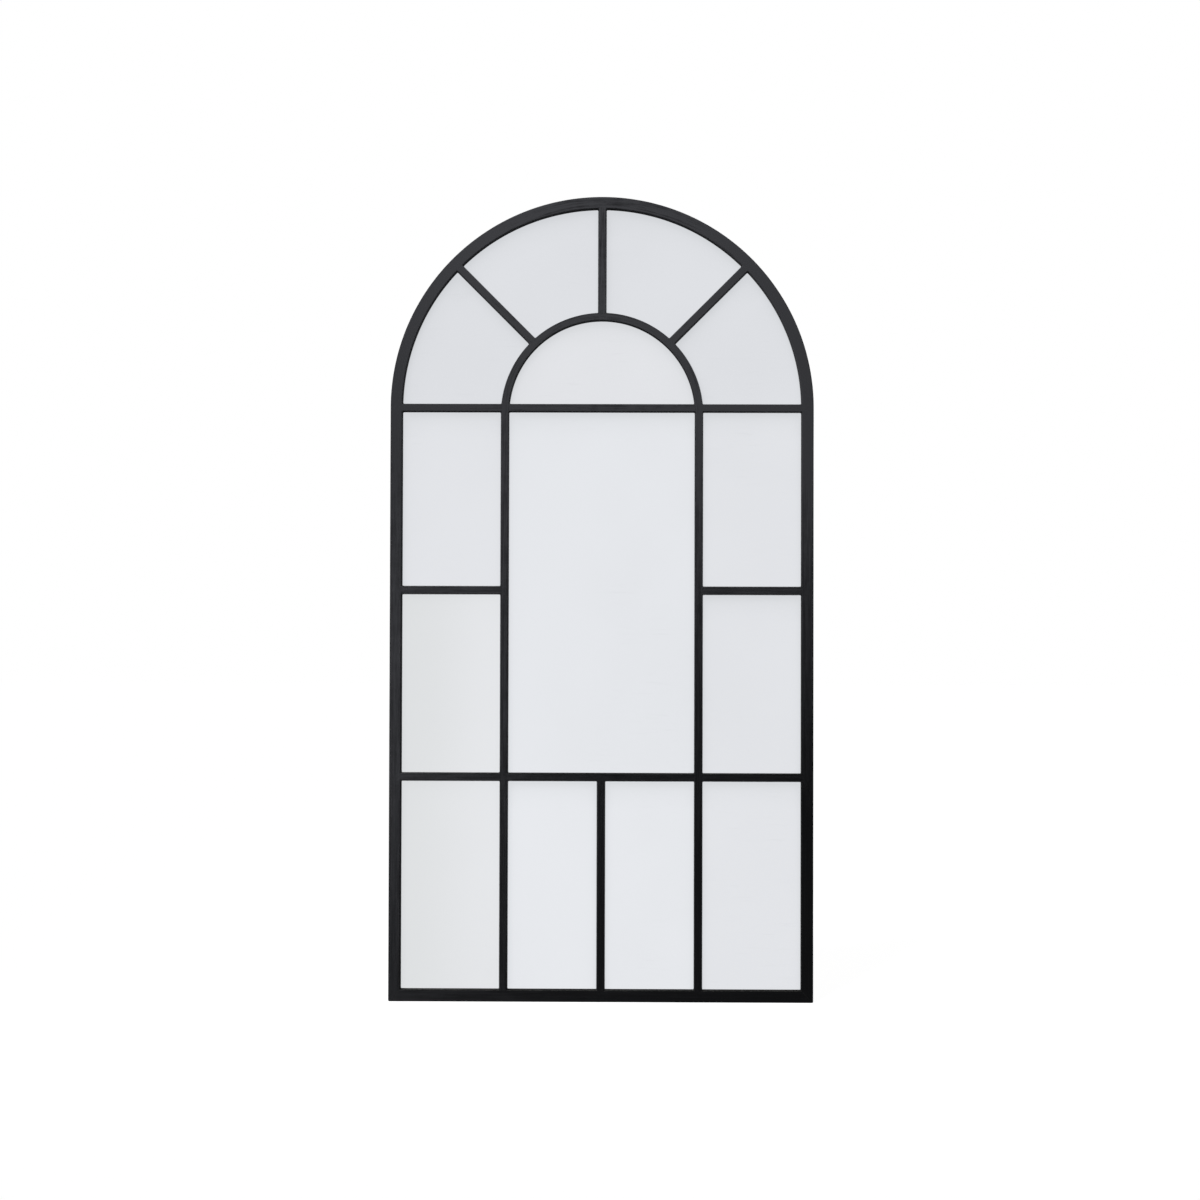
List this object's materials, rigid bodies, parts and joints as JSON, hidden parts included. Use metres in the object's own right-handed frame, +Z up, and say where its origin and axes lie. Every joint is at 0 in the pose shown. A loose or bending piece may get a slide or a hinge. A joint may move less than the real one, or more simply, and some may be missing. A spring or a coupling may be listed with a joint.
{
  "type": "arched window mirror",
  "caption": "Tall arched wall mirror: a welded steel window frame with a fanlight top and glazing bars over separate mirror panes, hung on keyhole plates.",
  "frame": {"origin": "midway between the centres of the two keyholes' round ends, on the wall side of the hanger plates", "axes": "+X to the right of a person who looks at the mirror, +Y into the wall, +Z up"},
  "size_m": [0.9, 0.03, 1.7099],
  "materials": {
    "black_paint": "satin black paint over steel tube",
    "mirror_glass": "silvered float glass",
    "board": "bare fibreboard",
    "zinc_steel": "zinc plated",
    "bumper_rubber": "matt"
  },
  "bodies": {
    "root": {"arch_rail": "black_paint", "left_stile": "black_paint", "right_stile": "black_paint", "bottom_rail": "black_paint", "lunette_arch": "black_paint", "left_mullion": "black_paint", "right_mullion": "black_paint", "centre_mullion": "black_paint", "spring_transom_left": "black_paint", "spring_transom_centre": "black_paint", "spring_transom_right": "black_paint", "side_transom_left": "black_paint", "side_transom_right": "black_paint", "lower_transom_left": "black_paint", "lower_transom_centre": "black_paint", "lower_transom_right": "black_paint", "radial_bar_left": "black_paint", "radial_bar_top": "black_paint", "radial_bar_right": "black_paint", "weld_fillets": "black_paint", "fan_pane_outer_left": "mirror_glass", "fan_pane_inner_left": "mirror_glass", "fan_pane_inner_right": "mirror_glass", "fan_pane_outer_right": "mirror_glass", "lunette_pane": "mirror_glass", "centre_pane": "mirror_glass", "upper_pane_left": "mirror_glass", "upper_pane_right": "mirror_glass", "middle_pane_left": "mirror_glass", "middle_pane_right": "mirror_glass", "bottom_pane_outer_left": "mirror_glass", "bottom_pane_inner_left": "mirror_glass", "bottom_pane_inner_right": "mirror_glass", "bottom_pane_outer_right": "mirror_glass", "backboard": "board", "hanger_plate_left": "zinc_steel", "hanger_plate_right": "zinc_steel", "board_clips": "zinc_steel", "clip_screws": "zinc_steel", "hanger_screws": "zinc_steel", "wall_bumper_lower_left": "bumper_rubber", "wall_bumper_lower_right": "bumper_rubber", "wall_bumper_upper_left": "bumper_rubber", "wall_bumper_upper_right": "bumper_rubber"}
  },
  "joints": []
}
